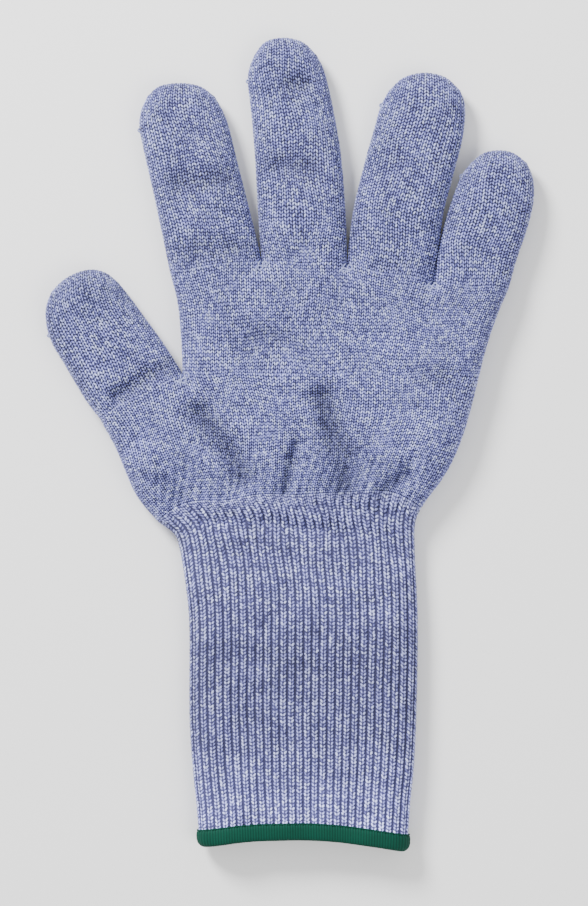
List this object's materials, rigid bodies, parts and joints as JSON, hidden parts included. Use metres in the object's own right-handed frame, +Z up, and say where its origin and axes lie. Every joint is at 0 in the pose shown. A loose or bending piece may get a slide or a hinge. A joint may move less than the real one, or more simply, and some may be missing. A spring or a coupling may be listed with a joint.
{
  "type": "cut resistant glove",
  "caption": "Seamless knitted glove lying palm up, hollow throughout, with separately bending digit sections, a long ribbed cuff and an overlocked hem.",
  "frame": {"origin": "on the resting surface, under the middle of the glove's bounding box", "axes": "+Y from the cuff's hem to the fingertips, +X from the thumb side to the little finger, +Z up out of the palm face"},
  "size_m": [0.1692, 0.2802, 0.014],
  "materials": {
    "plain_knit": "soft marled knit of blue and pale yarn",
    "rib_knit": "soft marled rib knit of blue and pale yarn",
    "hem_thread": "dense textured overlock thread with a slight sheen",
    "needle_thread": "fine twisted sewing thread",
    "pale_yarn": "pale fibrous yarn",
    "elastic": "fine covered elastic thread"
  },
  "bodies": {
    "palm": {"four_finger_body": "plain_knit", "five_finger_body": "plain_knit", "crotch_strand_thumb_index": "pale_yarn", "crotch_strand_index_middle": "pale_yarn", "crotch_strand_middle_ring": "pale_yarn", "crotch_strand_ring_little": "pale_yarn"},
    "cuff": {"cuff": "rib_knit", "cuff_elastic_thread": "elastic", "hem_binding": "hem_thread", "hem_needle_thread": "needle_thread"},
    "thumb_proximal": {"thumb_proximal": "plain_knit"},
    "thumb_distal": {"thumb_distal": "plain_knit", "thumb_closing_nub": "pale_yarn"},
    "index_proximal": {"index_proximal": "plain_knit"},
    "index_middle": {"index_middle": "plain_knit"},
    "index_distal": {"index_distal": "plain_knit", "index_closing_nub": "pale_yarn"},
    "middle_proximal": {"middle_proximal": "plain_knit"},
    "middle_middle": {"middle_middle": "plain_knit"},
    "middle_distal": {"middle_distal": "plain_knit", "middle_closing_nub": "pale_yarn"},
    "ring_proximal": {"ring_proximal": "plain_knit"},
    "ring_middle": {"ring_middle": "plain_knit"},
    "ring_distal": {"ring_distal": "plain_knit", "ring_closing_nub": "pale_yarn"},
    "little_proximal": {"little_proximal": "plain_knit"},
    "little_middle": {"little_middle": "plain_knit"},
    "little_distal": {"little_distal": "plain_knit", "little_closing_nub": "pale_yarn"}
  },
  "joints": [
    {"name": "wrist_bend", "type": "hinge", "parent": "palm", "child": "cuff", "pos_m": [0, -0.032, 0.005], "axis": [-1, 0, 0], "range_deg": [-60, 70]},
    {"name": "thumb_base_bend", "type": "hinge", "parent": "palm", "child": "thumb_proximal", "pos_m": [-0.0519, 0.0177, 0.0102], "axis": [0.887, 0.4617, 0], "range_deg": [-10, 60]},
    {"name": "thumb_tip_bend", "type": "hinge", "parent": "thumb_proximal", "child": "thumb_distal", "pos_m": [-0.0643, 0.0372, 0.0097], "axis": [0.8339, 0.5519, 0], "range_deg": [0, 70]},
    {"name": "index_base_bend", "type": "hinge", "parent": "palm", "child": "index_proximal", "pos_m": [-0.0256, 0.0625, 0.0102], "axis": [1, 0, 0], "range_deg": [-20, 90]},
    {"name": "index_middle_bend", "type": "hinge", "parent": "index_proximal", "child": "index_middle", "pos_m": [-0.0312, 0.0858, 0.0097], "axis": [0.9703, 0.2419, 0], "range_deg": [0, 90]},
    {"name": "index_tip_bend", "type": "hinge", "parent": "index_middle", "child": "index_distal", "pos_m": [-0.0355, 0.1038, 0.0092], "axis": [0.9781, 0.2079, 0], "range_deg": [0, 60]},
    {"name": "middle_base_bend", "type": "hinge", "parent": "palm", "child": "middle_proximal", "pos_m": [0.0051, 0.0635, 0.0102], "axis": [1, 0, 0], "range_deg": [-20, 90]},
    {"name": "middle_middle_bend", "type": "hinge", "parent": "middle_proximal", "child": "middle_middle", "pos_m": [0.0035, 0.0925, 0.0097], "axis": [0.9976, 0.0698, 0], "range_deg": [0, 90]},
    {"name": "middle_tip_bend", "type": "hinge", "parent": "middle_middle", "child": "middle_distal", "pos_m": [0.001, 0.1145, 0.0092], "axis": [0.9925, 0.1219, 0], "range_deg": [0, 60]},
    {"name": "ring_base_bend", "type": "hinge", "parent": "palm", "child": "ring_proximal", "pos_m": [0.0349, 0.062, 0.0102], "axis": [1, 0, 0], "range_deg": [-20, 90]},
    {"name": "ring_middle_bend", "type": "hinge", "parent": "ring_proximal", "child": "ring_middle", "pos_m": [0.0394, 0.088, 0.0097], "axis": [0.9724, -0.2334, 0], "range_deg": [0, 90]},
    {"name": "ring_tip_bend", "type": "hinge", "parent": "ring_middle", "child": "ring_distal", "pos_m": [0.0446, 0.108, 0.0092], "axis": [0.9816, -0.1908, 0], "range_deg": [0, 60]},
    {"name": "little_base_bend", "type": "hinge", "parent": "palm", "child": "little_proximal", "pos_m": [0.0631, 0.056, 0.0097], "axis": [1, 0, 0], "range_deg": [-20, 90]},
    {"name": "little_middle_bend", "type": "hinge", "parent": "little_proximal", "child": "little_middle", "pos_m": [0.0686, 0.074, 0.0092], "axis": [0.9681, -0.2504, 0], "range_deg": [0, 90]},
    {"name": "little_tip_bend", "type": "hinge", "parent": "little_middle", "child": "little_distal", "pos_m": [0.0716, 0.087, 0.0087], "axis": [0.9877, -0.1564, 0], "range_deg": [0, 60]}
  ]
}
